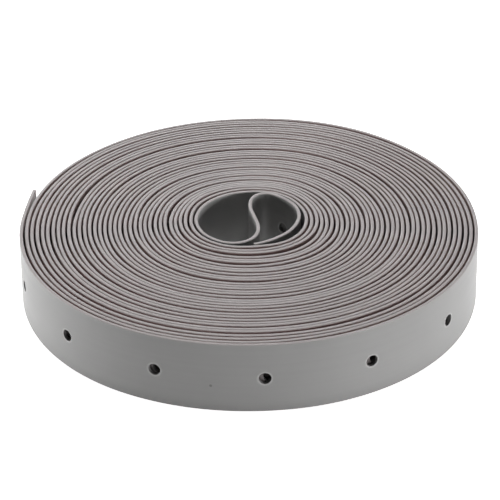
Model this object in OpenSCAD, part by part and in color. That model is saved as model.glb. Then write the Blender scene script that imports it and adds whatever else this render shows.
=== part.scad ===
// A roll of perforated plastic hanger strap, lying flat on one end of the coil.
// +Z is up. The origin is on the coil's axis, at the face that the coil rests on.
// From its outer end the strap winds inward, counter-clockwise seen from above. Then it
// leaves the innermost turn and ends in an S-shaped curl inside the bore.

/* [Strap] */
// Width of the strap, which is the height of the coil as it lies
strap_w = 19.05; // [12:0.05:50]
// Thickness of the strap
strap_t = 0.95; // [0.6:0.05:2]
// Diameter of the fixing holes
hole_d = 3; // [1.5:0.1:6]
// Distance from one fixing hole to the next, measured along the strap
hole_pitch = 27.02; // [15:0.01:60]
// Distance from the strap's outer end to the centre of its first fixing hole
first_hole = 8.1; // [4:0.1:30]
// Chamfer round each hole's outer edge, where the punch went in
rim_break = 0.15; // [0.05:0.05:0.4]

/* [Coil] */
// Number of whole turns
turns = 34; // [4:1:50]
// Gap that the loosened coil leaves between neighbouring turns
turn_gap = 0.42; // [0.15:0.01:0.6]
// Radius of the bore where the innermost turn ends
bore_r = 13.9; // [12:0.1:30]
// Depth of the gaps between turns, from each end of the coil
gap_depth = 3; // [0.5:0.1:5]
// Direction in which the outer turn begins, counted from +X
start_angle = 177; // [0:1:359]

/* [Free ends] */
// Length of the outer end that stands off the coil
tail_len = 14.5; // [8:0.5:40]
// Bend radius of that outer end
tail_r = 200; // [90:1:300]

/* [Hidden] */
$fn = 180;

pitch = strap_t + turn_gap;
mid_h = strap_w / 2;
// The spiral is two sets of half circles whose centres lie half a pitch apart, one on
// each side of the axis, so that each turn runs on into the next one.
centre_shift = pitch / 4;
start_r = bore_r + strap_t + turns * pitch;
first_half_r = start_r - centre_shift;
second_half_r = first_half_r - pitch / 2;
inner_turn = turns - 1;
// Largest angle between neighbouring points of the curl's outline
curl_step = 5;

// The curl in the bore is a row of tangent arcs, each [radius, angle turned]. A positive
// angle turns left. The radii are shares of the bore's radius, so the curl fits the bore.
CURL = [
    for (arc = [[0.86, 90], [0.335, 91], [3.9, 15.5], [0.285, -126], [0.89, -65],
                [0.86, -46], [1.86, -22]])
        [arc[0] * bore_r, arc[1]]
];

function degrees(len, r) = len / r * 180 / PI;
function arc_len(arc) = arc[0] * abs(arc[1]) * PI / 180;

// The middle of the strap in turn number k, counted from outside, of a half whose
// outermost turn has the outer radius r
function middle_r(r, k) = r - k * pitch - strap_t / 2;
function half_len(r, k) = PI * middle_r(r, k);

// Length of strap from its outer end to the start of turn number k
function length_before(k) =
    k == 0 ? tail_len
           : length_before(k - 1) + half_len(first_half_r, k - 1) + half_len(second_half_r, k - 1);

// The places of the fixing holes on a stretch of strap of length len that begins at the
// distance s from the outer end, each measured from the start of the stretch
function holes_on(s, len) = [
    for (j = [max(0, ceil((s + hole_d / 2 - first_hole) / hole_pitch))
              : floor((s + len - hole_d / 2 - first_hole) / hole_pitch)])
        first_hole + j * hole_pitch - s
];

// Upper outline of a half's cross-section about its mid height, from outside to inside:
// the edge of each turn, then the floor of the gap after it
function turn_edges(r) = [
    for (k = [0 : inner_turn])
        let (out = r - k * pitch, in = out - strap_t)
            each concat(
                [[out, mid_h], [in, mid_h]],
                k < inner_turn ? [[in, mid_h - gap_depth], [out - pitch, mid_h - gap_depth]] : []
            )
];

module half_coil(r) {
    upper = turn_edges(r);
    lower = [for (i = [len(upper) - 1 : -1 : 0]) [upper[i].x, -upper[i].y]];
    translate([0, 0, mid_h])
        rotate_extrude(angle = 180)
            polygon(concat(upper, lower));
}

// A fixing hole along +X that starts below the strap's inner face and ends beyond its
// outer face, for a strap whose middle is at the radius r. Where the outer face is open,
// the hole has its chamfer there.
module fixing_hole(r, below, beyond) {
    flare = rim_break + beyond;
    translate([r - strap_t / 2 - below, 0, mid_h])
        rotate([0, 90, 0])
            cylinder(d = hole_d, h = strap_t + below + beyond);
    if (beyond > 0)
        translate([r + strap_t / 2 - rim_break, 0, mid_h])
            rotate([0, 90, 0])
                cylinder(d1 = hole_d, d2 = hole_d + 2 * flare, h = flare);
}

// The first half of every turn, then the second half
module first_half() {
    translate([centre_shift, 0, 0]) children();
}
module second_half() {
    translate([-centre_shift, 0, 0]) rotate(180) children();
}

module coil() {
    first_half() half_coil(first_half_r);
    second_half() half_coil(second_half_r);
}

// Holes in one half of turn number k, drilled from outside or from inside the coil
module half_turn_holes(r, k, s, from_outside) {
    mid = middle_r(r, k);
    below = from_outside ? 0 : turn_gap;
    for (along = holes_on(s, half_len(r, k)))
        rotate(degrees(along, mid)) fixing_hole(mid, below, turn_gap - below);
}

module turn_holes(k, from_outside) {
    s = length_before(k);
    first_half() half_turn_holes(first_half_r, k, s, from_outside);
    second_half()
        half_turn_holes(second_half_r, k, s + half_len(first_half_r, k), from_outside);
}

// The outer end, which springs off the coil in a wider bend
module at_tail() {
    translate([start_r - strap_t / 2 - tail_r, 0, 0]) children();
}

module tail() {
    sweep = degrees(tail_len, tail_r);
    at_tail()
        rotate_extrude(start = -sweep, angle = sweep)
            translate([tail_r - strap_t / 2, 0])
                square([strap_t, strap_w]);
}

module tail_holes() {
    at_tail()
        for (along = holes_on(0, tail_len))
            rotate(-degrees(tail_len - along, tail_r)) fixing_hole(tail_r, turn_gap, turn_gap);
}

// A pose is a point on the middle of the strap and the heading there: [x, y, angle]
function left_of(angle) = [-sin(angle), cos(angle)];
function turn_along(pose, arc, turned) =
    let (
        reach = sign(arc[1]) * arc[0],
        centre = [pose.x, pose.y] + reach * left_of(pose[2]),
        heading = pose[2] + turned,
        place = centre - reach * left_of(heading)
    ) [place.x, place.y, heading];
function curl_pose(i) =
    i == 0 ? [bore_r + strap_t / 2, 0, 90] : turn_along(curl_pose(i - 1), CURL[i - 1], CURL[i - 1][1]);
function curl_len(i = 0) = i == len(CURL) ? 0 : arc_len(CURL[i]) + curl_len(i + 1);

// The pose at a distance along the curl, looked for from arc number i on
function pose_at(along, i = 0) =
    along > arc_len(CURL[i]) && i < len(CURL) - 1
        ? pose_at(along - arc_len(CURL[i]), i + 1)
        : turn_along(curl_pose(i), CURL[i], sign(CURL[i][1]) * degrees(along, CURL[i][0]));

// Poses in small steps from the start of the curl to its tip
function curl_poses() = [
    for (i = [0 : len(CURL) - 1])
        let (steps = ceil(abs(CURL[i][1]) / curl_step), start = curl_pose(i))
            for (j = [i == 0 ? 0 : 1 : steps]) turn_along(start, CURL[i], CURL[i][1] * j / steps)
];
function beside(pose, distance) = [pose.x, pose.y] + distance * left_of(pose[2]);

module curl() {
    poses = curl_poses();
    last = len(poses) - 1;
    linear_extrude(strap_w)
        polygon(concat(
            [for (i = [0 : last]) beside(poses[i], strap_t / 2)],
            [for (i = [last : -1 : 0]) beside(poses[i], -strap_t / 2)]
        ));
}

module curl_holes() {
    for (along = holes_on(length_before(turns), curl_len())) {
        pose = pose_at(along);
        translate([pose.x, pose.y, 0]) rotate(pose[2] - 90) fixing_hole(0, turn_gap, turn_gap);
    }
}

module hanger_strap() {
    color([0.60, 0.58, 0.58])
        rotate(start_angle)
            difference() {
                union() {
                    coil();
                    tail();
                    curl();
                }
                turn_holes(0, true);
                turn_holes(inner_turn, false);
                tail_holes();
                curl_holes();
            }
}

hanger_strap();
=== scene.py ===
"""A roll of perforated plastic hanger strap on a white studio floor.

The strap is one strip. It is laid out flat, with its holes, and then wound along its route: the
lifted outer end, the turns of the coil and the curl in the bore.
"""

import math

import bpy
import numpy as np
from mathutils import Euler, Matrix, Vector


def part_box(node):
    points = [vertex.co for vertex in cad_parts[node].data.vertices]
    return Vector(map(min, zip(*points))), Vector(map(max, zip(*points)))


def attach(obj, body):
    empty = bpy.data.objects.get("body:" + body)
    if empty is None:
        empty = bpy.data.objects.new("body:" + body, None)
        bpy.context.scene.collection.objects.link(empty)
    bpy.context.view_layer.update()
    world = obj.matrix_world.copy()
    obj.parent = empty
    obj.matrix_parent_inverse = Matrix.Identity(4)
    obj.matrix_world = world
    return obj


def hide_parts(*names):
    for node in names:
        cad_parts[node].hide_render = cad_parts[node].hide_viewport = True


MM = 0.001

# Strap, in millimetres
STRAP_T = 0.95
EDGE_ROUND = 0.28
HOLE_D = 3.0
HOLE_PITCH = 27.02
FIRST_HOLE = 8.1  # from the outer end
CURL_HOLE = 56.8  # from the end of the last turn to the hole that shows in the curl
RIM_ROUND = 0.15  # of a hole's rim in the outer face
BACK_RIM_ROUND = 0.08  # of a hole's rim in the inner face

# Coil, in millimetres and degrees
TURNS = 34
TURN_GAP = 0.41
PITCH = STRAP_T + TURN_GAP
BORE_R = 14.2
START_ANGLE = 177
TAIL_LEN = 14.5
TAIL_R = 200.0
SHUT_GAP = 0.03  # what stays open of a gap that lies shut
SPREAD = 0.009  # share by which the coil is wider at its foot than at its top

# How far all turns together lie out of round, in millimetres, as waves round the coil
OFF_CENTRE = -0.15
OVAL = -0.06
THREE_SIDED = -0.15
FOUR_SIDED = -0.18

# Turns of the coil and how far they lie out of the even spiral: as a whole, and towards +Y
DRIFT_TURNS = [0, 4.5, 8.5, 10.5, 12.5, 16.5, 20.5, 24.5, 26.5, 28, 29, 30, 31, 32, 34]
DRIFT_OUT = [0.1, -0.1, -0.2, -0.3, -0.35, -0.3, -0.25, -0.1, -0.1, 0.05, -0.15, 0, 0.05, 0, 0]
DRIFT_BACK = [0.2, 0.25, 0, -0.15, -0.2, -0.7, -0.85, -0.6, -0.5, -0.3, -0.15, 0, 0.3, 0.8, 0.9]

# Random waves in the gaps: how many, their height as a share of the even gap, and how often the
# slowest one comes in a turn
GAP_WAVES = 8
WAVE_HEIGHT = 0.08
SLOWEST_WAVE = 0.83
SEED = 7

# For each turn, the stretches where the gap inside it stands open or lies shut: from, to, share
# of the even gap. Angles are counted from +X.
LOOSE_AND_TIGHT = {
    0: [(238, 280, 0.12), (315, 400, 1.1), (412, 442, 1.5), (445, 500, 0.6), (505, 530, 1.8)],
    1: [(290, 335, 0.4), (395, 525, 0.3)],
    2: [(200, 240, 1.4), (255, 285, 0.7), (295, 360, 1.5), (405, 458, 0.5), (480, 530, 1.4)],
    3: [(215, 315, 2.4), (415, 515, 0.6)],
    4: [(222, 302, 0.12), (415, 460, 0.45)],
    5: [(215, 288, 2.0), (298, 368, 0.8), (388, 420, 1.4), (438, 462, 0.3), (492, 530, 1.15)],
    6: [(197, 315, 0.12), (372, 400, 0.6), (480, 512, 0.45)],
    7: [(205, 260, 1.3), (282, 332, 0.4), (418, 525, 0.5)],
    8: [(270, 350, 1.6), (368, 415, 0.8), (442, 505, 1.6), (510, 535, 2.1)],
    9: [(208, 256, 0.12), (422, 540, 0.35)],
    10: [(200, 275, 1.8), (300, 368, 1.3), (388, 460, 0.4), (490, 520, 1.3)],
    11: [(200, 252, 0.6), (265, 312, 1.2), (325, 378, 0.75)],
    12: [(195, 246, 1.5), (265, 335, 0.55), (350, 412, 1.9), (418, 480, 0.45)],
    13: [(190, 220, 1.4), (264, 340, 0.12), (395, 520, 2.1)],
    14: [(202, 300, 0.1), (312, 356, 1.5), (365, 398, 0.75), (404, 510, 0.25)],
    15: [(215, 308, 1.6), (316, 345, 0.8), (358, 392, 1.3), (415, 480, 0.6)],
    16: [(200, 290, 1.5), (320, 352, 1.3), (375, 420, 0.7), (518, 535, 1.5)],
    17: [(200, 236, 0.7), (252, 290, 0.3), (332, 362, 1.4), (365, 500, 1.9)],
    18: [(225, 296, 0.6), (366, 455, 0.35)],
    19: [(235, 328, 0.2), (398, 482, 1.2)],
    20: [(195, 212, 1.3), (235, 280, 0.35), (360, 386, 0.5), (392, 530, 0.15)],
    21: [(200, 280, 2.0), (292, 345, 0.7), (362, 530, 2.1)],
    22: [(200, 275, 0.2), (302, 356, 1.4), (375, 420, 0.7)],
    23: [(200, 275, 1.4), (297, 372, 0.7), (378, 410, 0.8), (415, 515, 0.3)],
    24: [(200, 252, 0.7), (275, 345, 1.4), (405, 468, 0.35)],
    25: [(205, 232, 0.9), (244, 340, 0.2), (375, 525, 2.6)],
    26: [(222, 272, 0.55), (275, 350, 1.4), (378, 412, 0.15), (418, 525, 0.6)],
    27: [(200, 280, 1.5), (292, 332, 0.7), (380, 530, 2.4)],
    28: [(222, 335, 0.15), (402, 428, 0.6), (440, 480, 0.4)],
    29: [(424, 505, 0.3)],
    30: [(200, 340, 1.5), (374, 528, 0.1)],
    31: [(180, 218, 0.6), (238, 325, 0.4)],
    32: [(190, 240, 1.4), (315, 390, 1.4), (462, 510, 0.6)],
}
SHOULDER = 14  # degrees over which such a stretch begins or ends

# Places where turns bulge out or in: turn with the full height, turn where it has faded away,
# angle, half width and height
BULGES = [
    (0, 200, 68, 20, 0.5),
    (0, 4, 50, 30, 0.35),
    (0, 4, 135, 25, -0.3),
    (33, 32.2, 285, 50, -0.4),
    (34, 33.2, 130, 35, -0.4),
    (34, 33, 15, 30, 0.25),
]

# Middle of the strap in the curl, from the end of the last turn to the strap's inner end
CURL = [
    (-13.9, -3.7),
    (-12.4, -7.1),
    (-9.9, -9.9),
    (-6.8, -11.8),
    (-4.4, -12.2),
    (-2.0, -11.7),
    (0.1, -10.2),
    (1.5, -7.9),
    (2.1, -5.0),
    (1.9, -2.0),
    (1.1, 1.5),
    (0.1, 6.0),
    (0.0, 9.6),
    (0.6, 12.1),
    (1.9, 13.9),
    (4.3, 14.6),
    (7.6, 13.1),
    (10.4, 10.4),
    (12.3, 7.1),
    (13.1, 3.5),
    (12.9, 0.0),
    (11.9, -3.2),
    (10.4, -6.0),
    (8.3, -8.4),
    (6.0, -10.3),
    (4.1, -11.5),
    (2.3, -12.4),
    (0.9, -12.9),
]

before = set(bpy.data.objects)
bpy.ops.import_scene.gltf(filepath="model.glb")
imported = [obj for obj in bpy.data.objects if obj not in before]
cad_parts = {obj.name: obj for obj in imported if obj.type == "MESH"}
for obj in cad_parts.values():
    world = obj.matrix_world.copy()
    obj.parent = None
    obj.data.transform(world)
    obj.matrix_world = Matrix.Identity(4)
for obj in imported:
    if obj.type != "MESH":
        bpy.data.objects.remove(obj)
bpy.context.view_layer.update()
STRAP_W = (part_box("hanger_strap")[1].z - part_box("hanger_strap")[0].z) / MM
START_R = BORE_R + STRAP_T + TURNS * PITCH


# The strap's route

SAMPLES = 720  # points in one turn
TAIL_STEP = 0.3  # millimetres between points in the outer end
CURL_STEP = 0.1  # millimetres between points in the curl
LEAD_IN = [-120, -80, -40, -1]  # points of the last turn that the curl's line starts from
JOINT_REACH = 60  # points before the curl from which the route is smoothed again

# Widths of smoothing, in points
COIL_SMOOTHING = 8
JOINT_SMOOTHING = 7
BEND_SMOOTHING = 10


def soft_step(x):
    """Rises smoothly from 0 to 1 while x goes from 0 to 1."""
    x = np.clip(x, 0, 1)
    return x * x * (3 - 2 * x)


def stretch(angle, start, end):
    """1 between two angles and 0 elsewhere, with soft shoulders."""
    rise = soft_step((angle - start) / SHOULDER + 0.5)
    return rise * soft_step((end - angle) / SHOULDER + 0.5)


def smoothed(values, width):
    """Values blurred over their neighbours. The first and the last stay as they are."""
    reach = int(4 * width)
    kernel = np.exp(-0.5 * (np.arange(-reach, reach + 1) / width) ** 2)
    kernel /= kernel.sum()
    first = 2 * values[:1] - values[reach:0:-1]
    last = 2 * values[-1:] - values[-2 : -reach - 2 : -1]
    return np.convolve(np.concatenate([first, values, last]), kernel, mode="valid")


def mean_of_turns(values):
    """Mean at the same angle over five turns: the point's own and two on each side."""
    total = np.zeros_like(values)
    for k in range(-2, 3):
        total += values[np.clip(np.arange(len(values)) + k * SAMPLES, 0, len(values) - 1)]
    return total / 5


def even_radii(u, wound):
    """Radius of the strap's middle after u turns, before its gaps are made uneven."""
    angle = np.radians(wound)
    out_of_round = (
        OFF_CENTRE * np.cos(angle)
        + OVAL * np.sin(2 * angle)
        + THREE_SIDED * np.sin(3 * angle)
        + FOUR_SIDED * np.cos(4 * angle)
    )
    back = np.interp(u, DRIFT_TURNS, DRIFT_BACK)
    drift = np.interp(u, DRIFT_TURNS, DRIFT_OUT) + back * np.sin(angle)
    even = START_R - STRAP_T / 2 - PITCH * u + out_of_round + drift
    for full, gone, middle, half_width, height in BULGES:
        away = (wound - middle + 180) % 360 - 180
        share = soft_step((u - gone) / (full - gone))
        even += height * share * np.exp(-((away / half_width) ** 2))
    return even


def gap_shares(u, wound):
    """Width of the gap inside each point, as a share of the even gap."""
    rng = np.random.default_rng(SEED)
    share = np.ones_like(u)
    for wave in range(1, GAP_WAVES + 1):
        share += WAVE_HEIGHT * np.sin(2 * math.pi * (wave * SLOWEST_WAVE * u + rng.random()))
    for turn, stretches in LOOSE_AND_TIGHT.items():
        for start, end, wanted in stretches:
            share += (wanted - share) * stretch(wound - 360 * turn, start, end)
    return share


def coil_radii():
    """Angle and radius of the strap's middle at each point of the turns, with uneven gaps."""
    u = np.arange(TURNS * SAMPLES + 1) / SAMPLES
    wound = START_ANGLE + 360 * u
    even = even_radii(u, wound)
    share = gap_shares(u, wound)

    a_turn_on = np.arange(len(u)) + SAMPLES
    inner = np.minimum(a_turn_on, len(u) - 1)
    even_gap = np.where(inner == a_turn_on, even - even[inner] - STRAP_T, TURN_GAP)
    gap = np.maximum(even_gap * share / mean_of_turns(share), SHUT_GAP)

    # The outermost turn closes in steadily, so that the gap inside its start comes out right.
    # Each later point follows from the one a turn before it.
    r = even.copy()
    closing = even[0] - STRAP_T - gap[0] - even[SAMPLES]
    r[: SAMPLES + 1] += closing * u[: SAMPLES + 1]
    for i in range(SAMPLES, len(u)):
        r[i] = r[i - SAMPLES] - STRAP_T - gap[i - SAMPLES]
    r -= mean_of_turns(r - even)
    return wound, smoothed(r, COIL_SMOOTHING)


def lengths_along(points):
    """Length along a line at each of its points."""
    return np.concatenate([[0], np.cumsum(np.linalg.norm(np.diff(points, axis=0), axis=1))])


def through_points(points, step):
    """A natural cubic spline through points, sampled at even steps."""
    knots = lengths_along(points)
    n = len(points)
    h = np.diff(knots)
    system = np.zeros((n, n))
    right = np.zeros((n, 2))
    system[0, 0] = system[-1, -1] = 1
    for i in range(1, n - 1):
        system[i, i - 1 : i + 2] = h[i - 1], 2 * (h[i - 1] + h[i]), h[i]
        slope_in = (points[i] - points[i - 1]) / h[i - 1]
        slope_out = (points[i + 1] - points[i]) / h[i]
        right[i] = 6 * (slope_out - slope_in)
    bend = np.linalg.solve(system, right)
    t = np.arange(0, knots[-1], step)
    i = np.clip(np.searchsorted(knots, t, side="right") - 1, 0, n - 2)
    a = ((knots[i + 1] - t) / h[i])[:, None]
    b = ((t - knots[i]) / h[i])[:, None]
    curved = ((a**3 - a) * bend[i] + (b**3 - b) * bend[i + 1]) * (h[i] ** 2)[:, None] / 6
    return a * points[i] + b * points[i + 1] + curved


def route():
    """Points on the strap's middle from its outer to its inner end, and how many of them come
    before the curl."""
    wound, r = coil_radii()
    angle = np.radians(wound)
    coil = np.stack([r * np.cos(angle), r * np.sin(angle)], axis=1)

    heading = coil[1] - coil[0]
    heading /= np.linalg.norm(heading)
    inward = np.array([-heading[1], heading[0]])
    back = np.arange(TAIL_LEN, 0, -TAIL_STEP)[:, None] / TAIL_R
    tail = coil[0] + TAIL_R * (inward * (1 - np.cos(back)) - heading * np.sin(back))

    curl = through_points(np.concatenate([coil[LEAD_IN], CURL]), CURL_STEP)
    start = np.argmin(np.linalg.norm(curl - coil[-1], axis=1)) + 1
    points = np.concatenate([tail, coil, curl[start:]])
    before_curl = len(tail) + len(coil)
    joint = before_curl - JOINT_REACH
    for axis in (0, 1):
        points[joint:, axis] = smoothed(points[joint:, axis], JOINT_SMOOTHING)
    return points, before_curl


class Route:
    """The route by length along the strap."""

    def __init__(self, points, before_curl):
        self.points = points
        self.s = lengths_along(points)
        self.length = self.s[-1]
        self.curl_from = self.s[before_curl - 1]
        headings = np.gradient(points, self.s, axis=0)
        self.headings = headings / np.linalg.norm(headings, axis=1)[:, None]
        turned = np.unwrap(np.arctan2(self.headings[:, 1], self.headings[:, 0]))
        self.bend = np.abs(smoothed(np.gradient(turned, self.s), BEND_SMOOTHING))

    def at(self, s):
        """Point, heading and outward direction at each length s."""
        point = np.stack([np.interp(s, self.s, self.points[:, i]) for i in (0, 1)], axis=1)
        heading = np.stack([np.interp(s, self.s, self.headings[:, i]) for i in (0, 1)], axis=1)
        heading /= np.linalg.norm(heading, axis=1)[:, None]
        outward = np.stack([heading[:, 1], -heading[:, 0]], axis=1)
        return point, heading, outward


# The strap, laid out flat: s along it, n out of its outer face, z up

SAG = 0.012  # how far a flat facet may lie off the curve
LEAST_BEND = 1 / 200  # straighter stretches get facets as if they bent this much
PATCH = 2.2  # half the side of the square patch round each hole
PATCH_MARGIN = 0.5  # least distance from a patch to the next plain slice
ACROSS = (-2, -1, 0, 1, 2)  # places of the points across a patch, in quarters of its side
RIM_POINTS = 32
RIM_RINGS = 3  # across a rim's rounding
FIRST_RIM_POINT = -135  # degrees, towards the patch's first corner
CORNER_POINTS = 4  # across each rounded corner of the strap's section


class FlatStrap:
    """Points and faces of the strap before it is wound."""

    def __init__(self):
        self.points = []
        self.normals = []
        self.faces = []
        self.end_normals = {}

    def point(self, s, n, z, normal):
        """Adds a point and returns its number."""
        self.points.append((s, n, z))
        self.normals.append(normal)
        return len(self.points) - 1

    def face(self, corners, flipped=False):
        self.faces.append(corners[::-1] if flipped else corners)

    def band(self, ring, next_ring, flipped=False):
        """Faces between two rings of points."""
        for j in range(len(ring)):
            k = (j + 1) % len(ring)
            self.face([ring[j], ring[k], next_ring[k], next_ring[j]], flipped)

    def end_face(self, corners, ahead):
        """The flat end of the strap, which looks ahead (1) or back (-1) along it."""
        self.end_normals[len(self.faces)] = (ahead, 0, 0)
        self.face(corners)


def section():
    """The strap's outline across its width, with rounded edges: n, z and normal of each point."""
    out = []
    for corner, (side, top) in enumerate([(1, 1), (-1, 1), (-1, -1), (1, -1)]):
        centre_n = side * (STRAP_T / 2 - EDGE_ROUND)
        centre_z = STRAP_W / 2 + top * (STRAP_W / 2 - EDGE_ROUND)
        for step in range(CORNER_POINTS):
            a = math.radians(90 * corner + 90 * step / (CORNER_POINTS - 1))
            n, z = math.cos(a), math.sin(a)
            out.append((centre_n + EDGE_ROUND * n, centre_z + EDGE_ROUND * z, (0, n, z)))
    return out


def hole_places(way):
    """Holes that can be seen: on two turns outside, two turns inside and both free ends."""
    two_outer_turns = 2 * 2 * math.pi * START_R
    two_inner_turns = 2 * 2 * math.pi * (BORE_R + PITCH)
    curl_hole = way.curl_from + CURL_HOLE
    outer = np.arange(FIRST_HOLE, TAIL_LEN + two_outer_turns, HOLE_PITCH)
    before = np.arange(curl_hole, way.curl_from - two_inner_turns, -HOLE_PITCH)[::-1]
    after = np.arange(curl_hole + HOLE_PITCH, way.length - HOLE_D, HOLE_PITCH)
    return [*outer, *before, *after]


def slice_places(way, holes):
    """Slices where the strap's section is repeated, closer where it bends more. Each gives its
    length along the strap. In the patch round a hole, it also gives the hole and the slice's place
    across the patch."""
    places = [0.0]
    while places[-1] < way.length:
        bend = max(np.interp(places[-1], way.s, way.bend), LEAST_BEND)
        places.append(places[-1] + math.sqrt(8 * SAG / bend))
    places[-1] = way.length
    clear = PATCH + PATCH_MARGIN
    plain = [(s, None, 0) for s in places if all(abs(s - hole) > clear for hole in holes)]
    patches = [(hole + PATCH * place / 2, hole, place) for hole in holes for place in ACROSS]
    return sorted(plain + patches)


def add_broad_face(strap, low, high, slices, side):
    """The strap's outer (side 1) or inner (side -1) face, left open in the patch round each hole.
    Returns the points on the patches' borders, by slice and by place across."""
    borders = {}
    for i, (s, hole, place) in enumerate(slices):
        if hole is None:
            continue
        for row in ACROSS if abs(place) == 2 else (-2, 2):
            z = STRAP_W / 2 + PATCH * row / 2
            borders[i, row] = strap.point(s, side * STRAP_T / 2, z, (0, side, 0))
    flipped = side < 0
    for i in range(len(slices) - 1):
        hole, next_hole = slices[i][1], slices[i + 1][1]
        if hole is not None and hole == next_hole:
            strap.face([low[i], low[i + 1], borders[i + 1, -2], borders[i, -2]], flipped)
            strap.face([borders[i, 2], borders[i + 1, 2], high[i + 1], high[i]], flipped)
            continue
        up = [] if next_hole is None else [borders[i + 1, row] for row in ACROSS]
        down = [] if hole is None else [borders[i, row] for row in ACROSS[::-1]]
        strap.face([low[i], low[i + 1], *up, high[i + 1], high[i], *down], flipped)
    return borders


def add_hole(strap, borders, first, hole, side, rim_round):
    """Fills the patch round a hole in one face and rounds the hole's rim. The patch begins at the
    slice first. Returns the rim's innermost ring."""
    last = first + len(ACROSS) - 1
    border = [
        *[borders[i, -2] for i in range(first, last + 1)],
        *[borders[last, row] for row in (-1, 0, 1)],
        *[borders[i, 2] for i in range(last, first - 1, -1)],
        *[borders[first, row] for row in (1, 0, -1)],
    ]
    rings = []
    for step in range(RIM_RINGS):
        a = math.radians(90 * step / (RIM_RINGS - 1))
        reach = HOLE_D / 2 + rim_round * (1 - math.sin(a))
        n = side * (STRAP_T / 2 - rim_round * (1 - math.cos(a)))
        ring = []
        for j in range(RIM_POINTS):
            turn = math.radians(FIRST_RIM_POINT + 360 * j / RIM_POINTS)
            along, up = math.cos(turn), math.sin(turn)
            normal = (-math.sin(a) * along, side * math.cos(a), -math.sin(a) * up)
            ring.append(strap.point(hole + reach * along, n, STRAP_W / 2 + reach * up, normal))
        rings.append(ring)
    flipped = side < 0
    share = RIM_POINTS // len(border)
    for b, corner in enumerate(border):
        arc = [rings[0][(share * b + k) % RIM_POINTS] for k in range(share, -1, -1)]
        strap.face([corner, border[(b + 1) % len(border)], *arc], flipped)
    for ring, next_ring in zip(rings, rings[1:]):
        strap.band(ring, next_ring, flipped)
    return rings[-1]


def flat_strap(way, holes):
    """The whole strap, laid out flat, with its holes."""
    strap = FlatStrap()
    outline = section()
    slices = slice_places(way, holes)
    rows = [[strap.point(s, n, z, normal) for n, z, normal in outline] for s, _, _ in slices]
    columns = list(zip(*rows))
    inner_high, inner_low = 2 * CORNER_POINTS - 1, 2 * CORNER_POINTS
    for a in range(len(columns) - 1):
        if a == inner_high:
            continue
        near, far = columns[a], columns[a + 1]
        for i in range(len(slices) - 1):
            strap.face([near[i], near[i + 1], far[i + 1], far[i]])
    outer = add_broad_face(strap, columns[-1], columns[0], slices, 1)
    inner = add_broad_face(strap, columns[inner_low], columns[inner_high], slices, -1)
    for i, (_, hole, place) in enumerate(slices):
        if hole is None or place != ACROSS[0]:
            continue
        outer_rim = add_hole(strap, outer, i, hole, 1, RIM_ROUND)
        inner_rim = add_hole(strap, inner, i, hole, -1, BACK_RIM_ROUND)
        strap.band(outer_rim, inner_rim)
    strap.end_face(rows[0], -1)
    strap.end_face(rows[-1][::-1], 1)
    return strap


def wound_mesh(strap, way, holes):
    """The flat strap wound along its route. Each point keeps its place on the flat strap and its
    distance from the nearest hole's centre, for the material."""
    flat = np.array(strap.points)
    point, heading, outward = way.at(flat[:, 0])
    where = (point + outward * flat[:, 1:2]) * (1 + SPREAD * (1 - flat[:, 2:3] / STRAP_W))
    co = np.concatenate([where, flat[:, 2:3]], axis=1) * MM

    mesh = bpy.data.meshes.new("hanger_strap_coil")
    mesh.from_pydata(co.tolist(), [], strap.faces)
    mesh.polygons.foreach_set("use_smooth", np.ones(len(strap.faces), bool))

    corner_points = np.zeros(len(mesh.loops), int)
    mesh.loops.foreach_get("vertex_index", corner_points)
    normals = np.array(strap.normals, float)[corner_points]
    for face, normal in strap.end_normals.items():
        polygon = mesh.polygons[face]
        normals[polygon.loop_start : polygon.loop_start + polygon.loop_total] = normal
    ahead, out = heading[corner_points], outward[corner_points]
    turned = ahead * normals[:, :1] + out * normals[:, 1:2]
    mesh.normals_split_custom_set(np.concatenate([turned, normals[:, 2:]], axis=1).tolist())

    laid_flat = mesh.attributes.new("laid_flat", "FLOAT_VECTOR", "POINT")
    laid_flat.data.foreach_set("vector", (flat * MM).ravel())
    along = np.abs(flat[:, :1] - np.array(holes)).min(axis=1)
    from_hole = mesh.attributes.new("from_hole", "FLOAT", "POINT")
    from_hole.data.foreach_set("value", np.hypot(along, flat[:, 2] - STRAP_W / 2) * MM)
    return mesh


# Materials


def new_tree(block):
    """The emptied node tree of a material or world."""
    block.use_nodes = True
    block.node_tree.nodes.clear()
    return block.node_tree


def add_node(tree, kind, inputs=None, **settings):
    """A new node with these settings, and a value or a link at each of these inputs."""
    node = tree.nodes.new(kind)
    for name, value in settings.items():
        setattr(node, name, value)
    for key, value in (inputs or {}).items():
        if isinstance(value, bpy.types.NodeSocket):
            tree.links.new(value, node.inputs[key])
        else:
            node.inputs[key].default_value = value
    return node


def calculate(tree, operation, first, second=0.0):
    return add_node(tree, "ShaderNodeMath", {0: first, 1: second}, operation=operation).outputs[0]


def calculate_vector(tree, operation, first, inputs):
    """The outputs of a vector operation on first and on these other inputs."""
    return add_node(tree, "ShaderNodeVectorMath", {0: first, **inputs}, operation=operation).outputs


def ramp(tree, value, start, end, low=0.0, high=1.0):
    """Goes from low to high while the value goes from start to end."""
    inputs = {"Value": value, "From Min": start, "From Max": end, "To Min": low, "To Max": high}
    return add_node(tree, "ShaderNodeMapRange", inputs).outputs[0]


def noise(tree, vector, scale, detail=2.0):
    inputs = {"Vector": vector, "Scale": scale, "Detail": detail}
    return add_node(tree, "ShaderNodeTexNoise", inputs).outputs[0]


def mix_colours(tree, share, first, second):
    inputs = {0: share, 6: first, 7: second}
    return add_node(tree, "ShaderNodeMix", inputs, data_type="RGBA").outputs[2]


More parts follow.
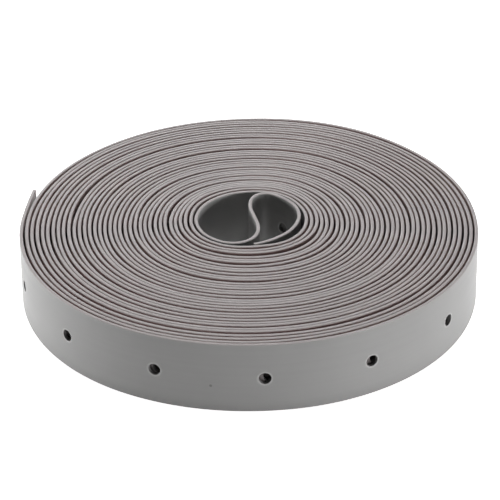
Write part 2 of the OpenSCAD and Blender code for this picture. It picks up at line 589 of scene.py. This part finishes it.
WALL_GREY = (0.312, 0.309, 0.306, 1)  # of faces that no other turn covers
EDGE_GREY = (0.370, 0.339, 0.338, 1)
GAP_PAINTED_LIGHT_GREY = (0.640, 0.480, 0.465, 1)  # painted light, pale and warm, on covered faces near the strap's edges
GAP_PAINTED_SHADE_GREY = (0.140, 0.125, 0.122, 1)  # painted shade on covered faces deeper in the gaps
FADE = 10 * MM  # length over which a covered face turns into an open one

# The plastic's patterns, as repeats in a metre. The streaks' are along the strap, out of it and up.
STREAKS = (8, 900, 900)
CLOUDS = 60.0
SCUFFS = 350.0
GRAIN = 4000.0
NOISE_RANGE = (0.3, 0.7)  # values between which most of a pattern lies
SCUFF_RANGE = (0.4, 0.65)  # values between which a worn spot begins and is fully worn

# Changes of tone, as shares of the colour
CLOUD_TONES = (0.97, 1.02)
STREAK_TONE = 0.02
WORN_TONE = 0.1
# Paler ring round each hole: partly stress whitening, partly a painted highlight on the rim
RIM_WHITENING_AND_PAINTED_HIGHLIGHT = 0.45
# Painted shade on the walls of the punched holes
HOLE_WALL_PAINTED_SHADE = 0.3
SPECK_TONE = 0.55

# A dark speck in the outer face: along the strap, out of its middle and up, in metres, and the
# radii up to which it is dark and where it has faded away
SPECK = (0.1032, STRAP_T / 2 * MM, 0.0072)
SPECK_RADII = (0.25 * MM, 0.45 * MM)

ROUGHNESS = (0.37, 0.45)
EDGE_ROUGHNESS = 0.08  # added at the edges
GRAIN_HEIGHT = 0.25  # as a share of the streaks' height
RELIEF = 0.02 * MM


def open_faces(tree, way, along, outward):
    """1 on the faces that no other turn covers: the outer one in the first turn, the inner one in
    the last turn, and both in the curl."""
    first_turn_to = (TAIL_LEN + 2 * math.pi * START_R) * MM
    last_turn_from = (way.curl_from - 2 * math.pi * (BORE_R + PITCH)) * MM
    curl_from = way.curl_from * MM
    outer_face = ramp(tree, outward, -0.1 * MM, 0.1 * MM)
    inner_face = calculate(tree, "SUBTRACT", 1.0, outer_face)
    in_first_turn = ramp(tree, along, first_turn_to, first_turn_to - FADE)
    in_last_turn = ramp(tree, along, last_turn_from - FADE, last_turn_from)
    outer_open = calculate(tree, "MULTIPLY", outer_face, in_first_turn)
    inner_open = calculate(tree, "MULTIPLY", inner_face, in_last_turn)
    in_coil = calculate(tree, "MAXIMUM", outer_open, inner_open)
    in_curl = ramp(tree, along, curl_from, curl_from + FADE)
    return calculate(tree, "MAXIMUM", in_coil, in_curl)


def strap_plastic(way):
    """Satin grey plastic. Its streaks run along the strap, as they left the extruder. Its edges are
    warmer and a little worn. It is paler round the punched holes, partly stress whitening and
    partly a painted highlight, and their walls are darker with painted shade. The faces between the
    turns get painted light, pale and warm, near the strap's edges and painted shade deeper in."""
    material = bpy.data.materials.new("strap_plastic")
    tree = new_tree(material)
    flat = add_node(tree, "ShaderNodeAttribute", attribute_name="laid_flat").outputs["Vector"]
    along, outward, up = add_node(tree, "ShaderNodeSeparateXYZ", {0: flat}).outputs
    from_hole = add_node(tree, "ShaderNodeAttribute", attribute_name="from_hole").outputs["Fac"]
    half = STRAP_W / 2 * MM
    from_middle = calculate(tree, "ABSOLUTE", calculate(tree, "SUBTRACT", up, half))

    def towards_edge(start, end):
        """0 to 1 between two distances from the strap's nearer edge, in millimetres."""
        return ramp(tree, from_middle, half - start * MM, half - end * MM)

    def towards_hole(start, end):
        """0 to 1 between two distances from the nearest hole's centre, in millimetres."""
        return ramp(tree, from_hole, start * MM, end * MM)

    edge = towards_edge(0.3, 0.1)
    crest = towards_edge(0.1, 0)
    # Share of painted light, against painted shade, on covered faces towards the strap's edges
    painted_gap_light = towards_edge(2.0, 0.4)
    hole_wall = towards_hole(1.62, 1.54)
    rim = calculate(tree, "SUBTRACT", towards_hole(2.15, 1.7), hole_wall)
    uncovered = calculate(tree, "MAXIMUM", open_faces(tree, way, along, outward), hole_wall)

    streaks = noise(tree, calculate_vector(tree, "MULTIPLY", flat, {1: STREAKS})[0], 1.0, 3.0)
    clouds = noise(tree, flat, CLOUDS, 3.0)
    scuffs = noise(tree, flat, SCUFFS, 4.0)
    grain = noise(tree, flat, GRAIN)

    streak_tone = ramp(tree, streaks, *NOISE_RANGE, -STREAK_TONE, STREAK_TONE)
    tone = calculate(tree, "ADD", ramp(tree, clouds, *NOISE_RANGE, *CLOUD_TONES), streak_tone)
    worn = calculate(tree, "MULTIPLY", crest, ramp(tree, scuffs, *SCUFF_RANGE, 0.0, WORN_TONE))
    tone = calculate(tree, "ADD", tone, worn)
    # Paler ring round the holes: partly stress whitening, partly a painted highlight
    tone = calculate(tree, "ADD", tone, calculate(tree, "MULTIPLY", rim, RIM_WHITENING_AND_PAINTED_HIGHLIGHT))
    # Painted shade on the holes' walls
    painted_hole_shade = calculate(tree, "MULTIPLY", hole_wall, HOLE_WALL_PAINTED_SHADE)
    tone = calculate(tree, "SUBTRACT", tone, painted_hole_shade)
    from_speck = calculate_vector(tree, "DISTANCE", flat, {1: SPECK})["Value"]
    speck_tone = ramp(tree, from_speck, *SPECK_RADII, SPECK_TONE, 1.0)
    tone = calculate(tree, "MULTIPLY", tone, speck_tone)

    # Covered faces get painted shade deep in the gaps and painted light towards the strap's edges
    painted_gap_light_and_shade = mix_colours(tree, painted_gap_light, GAP_PAINTED_SHADE_GREY, GAP_PAINTED_LIGHT_GREY)
    face_grey = mix_colours(tree, uncovered, painted_gap_light_and_shade, WALL_GREY)
    grey = mix_colours(tree, edge, face_grey, EDGE_GREY)
    colour = calculate_vector(tree, "SCALE", grey, {"Scale": tone})[0]

    roughness = ramp(tree, streaks, *NOISE_RANGE, *ROUGHNESS)
    rougher = calculate(tree, "MULTIPLY", edge, EDGE_ROUGHNESS)
    roughness = calculate(tree, "ADD", roughness, rougher)
    relief = calculate(tree, "ADD", streaks, calculate(tree, "MULTIPLY", grain, GRAIN_HEIGHT))
    bump = add_node(tree, "ShaderNodeBump", {"Height": relief, "Strength": 1.0, "Distance": RELIEF})

    plastic = add_node(
        tree,
        "ShaderNodeBsdfPrincipled",
        {
            "Base Color": colour,
            "Roughness": roughness,
            "IOR": 1.5,
            "Normal": bump.outputs["Normal"],
        },
    )
    add_node(tree, "ShaderNodeOutputMaterial", {"Surface": plastic.outputs["BSDF"]})
    return material


def seen_directly(tree):
    """1 for rays from the camera, from reflections and through clear things, and 0 for light."""
    rays = add_node(tree, "ShaderNodeLightPath").outputs
    seen = calculate(tree, "MAXIMUM", rays["Is Camera Ray"], rays["Is Glossy Ray"])
    return calculate(tree, "MAXIMUM", seen, rays["Is Transmission Ray"])


def floor_white():
    """White floor. The camera and reflections see it glow, so it meets the backdrop unseen, and it
    still takes the coil's shadow."""
    white = 0.9
    material = bpy.data.materials.new("floor_white")
    tree = new_tree(material)
    paper = add_node(tree, "ShaderNodeBsdfDiffuse", {"Color": (white, white, white, 1)})
    glow_strength = calculate(tree, "MULTIPLY", seen_directly(tree), white)
    glow = add_node(tree, "ShaderNodeEmission", {"Strength": glow_strength})
    both = add_node(tree, "ShaderNodeAddShader", {0: paper.outputs[0], 1: glow.outputs[0]})
    add_node(tree, "ShaderNodeOutputMaterial", {"Surface": both.outputs[0]})
    return material


# The studio

# Softboxes: azimuth and elevation in degrees, distance, width and height in metres, and watts
LAMPS = {
    "top_softbox": (90, 84, 0.7, 0.25, 0.25, 2.5),
    "left_softbox": (173, 5, 0.8, 0.5, 0.12, 4.5),
    "right_softbox": (-30, 5, 0.8, 0.5, 0.12, 4.1),
    "back_softbox": (98, 12, 0.8, 0.5, 0.2, 2.5),
}

# Strength of the world's light from the front and from the back, and the Y of the direction
# between which it changes
SKY_FRONT = 0.0
SKY_BACK = 0.08
SKY_TURNS = (-0.8, 0.4)


def camera():
    """Looks at the coil from the photo's angle. Its place comes from the coil's outline there."""
    data = bpy.data.cameras.new("camera")
    cam = bpy.data.objects.new("camera", data)
    bpy.context.scene.collection.objects.link(cam)
    elevation = 31.72
    distance = 0.4642
    roll = -0.55
    focal_pixels = 1697.6
    picture_pixels = 500
    principal_right = 1.0
    principal_down = 29.7
    a = math.radians(elevation)
    cam.location = (0, -distance * math.cos(a), distance * math.sin(a))
    turn = Euler((math.radians(90 - elevation), 0, 0)).to_matrix()
    turn = turn @ Euler((0, 0, math.radians(roll))).to_matrix()
    cam.rotation_euler = turn.to_euler()
    data.sensor_width = 36
    data.lens = data.sensor_width * focal_pixels / picture_pixels
    data.shift_x = -principal_right / picture_pixels
    data.shift_y = principal_down / picture_pixels
    data.clip_start = 0.01
    data.clip_end = 100
    bpy.context.scene.camera = cam


def lamp(name, azimuth, elevation, distance, width, height, power):
    """A softbox that points at the coil. The azimuth is counted from +X."""
    data = bpy.data.lights.new(name, "AREA")
    data.shape = "RECTANGLE"
    data.size = width
    data.size_y = height
    data.energy = power
    obj = bpy.data.objects.new(name, data)
    bpy.context.scene.collection.objects.link(obj)
    a, e = math.radians(azimuth), math.radians(elevation)
    out = Vector((math.cos(a) * math.cos(e), math.sin(a) * math.cos(e), math.sin(e)))
    obj.location = distance * out
    obj.rotation_euler = out.to_track_quat("Z", "Y").to_euler()


def studio_world():
    """White to the eye and in reflections. Its light comes from above and behind the coil and
    fades out towards the front."""
    world = bpy.data.worlds.new("studio")
    bpy.context.scene.world = world
    tree = new_tree(world)
    white = add_node(tree, "ShaderNodeBackground", {"Color": (1, 1, 1, 1), "Strength": 1.0})
    direction = add_node(tree, "ShaderNodeTexCoord").outputs["Generated"]
    towards_back = add_node(tree, "ShaderNodeSeparateXYZ", {0: direction}).outputs["Y"]
    strength = ramp(tree, towards_back, *SKY_TURNS, SKY_FRONT, SKY_BACK)
    light = add_node(tree, "ShaderNodeBackground", {"Color": (1, 1, 1, 1), "Strength": strength})
    inputs = {0: seen_directly(tree), 1: light.outputs[0], 2: white.outputs[0]}
    mix = add_node(tree, "ShaderNodeMixShader", inputs)
    add_node(tree, "ShaderNodeOutputWorld", {"Surface": mix.outputs[0]})


def floor():
    """A square floor, 6 m wide, just clear of the strap's lower edges."""
    half = 3.0
    drop = 0.02 * MM
    mesh = bpy.data.meshes.new("floor")
    corners = [(-half, -half), (half, -half), (half, half), (-half, half)]
    mesh.from_pydata([(x, y, -drop) for x, y in corners], [], [(0, 1, 2, 3)])
    obj = bpy.data.objects.new("floor", mesh)
    bpy.context.scene.collection.objects.link(obj)
    mesh.materials.append(floor_white())


def strap_piece():
    """The wound strap with its material, in place of the solid coil."""
    way = Route(*route())
    holes = hole_places(way)
    mesh = wound_mesh(flat_strap(way, holes), way, holes)
    piece = bpy.data.objects.new("hanger_strap_coil", mesh)
    bpy.context.scene.collection.objects.link(piece)
    mesh.materials.append(strap_plastic(way))
    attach(piece, "root")
    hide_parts("hanger_strap")


bpy.context.scene.view_settings.view_transform = "Standard"
camera()
studio_world()
for name, settings in LAMPS.items():
    lamp(name, *settings)
floor()
strap_piece()
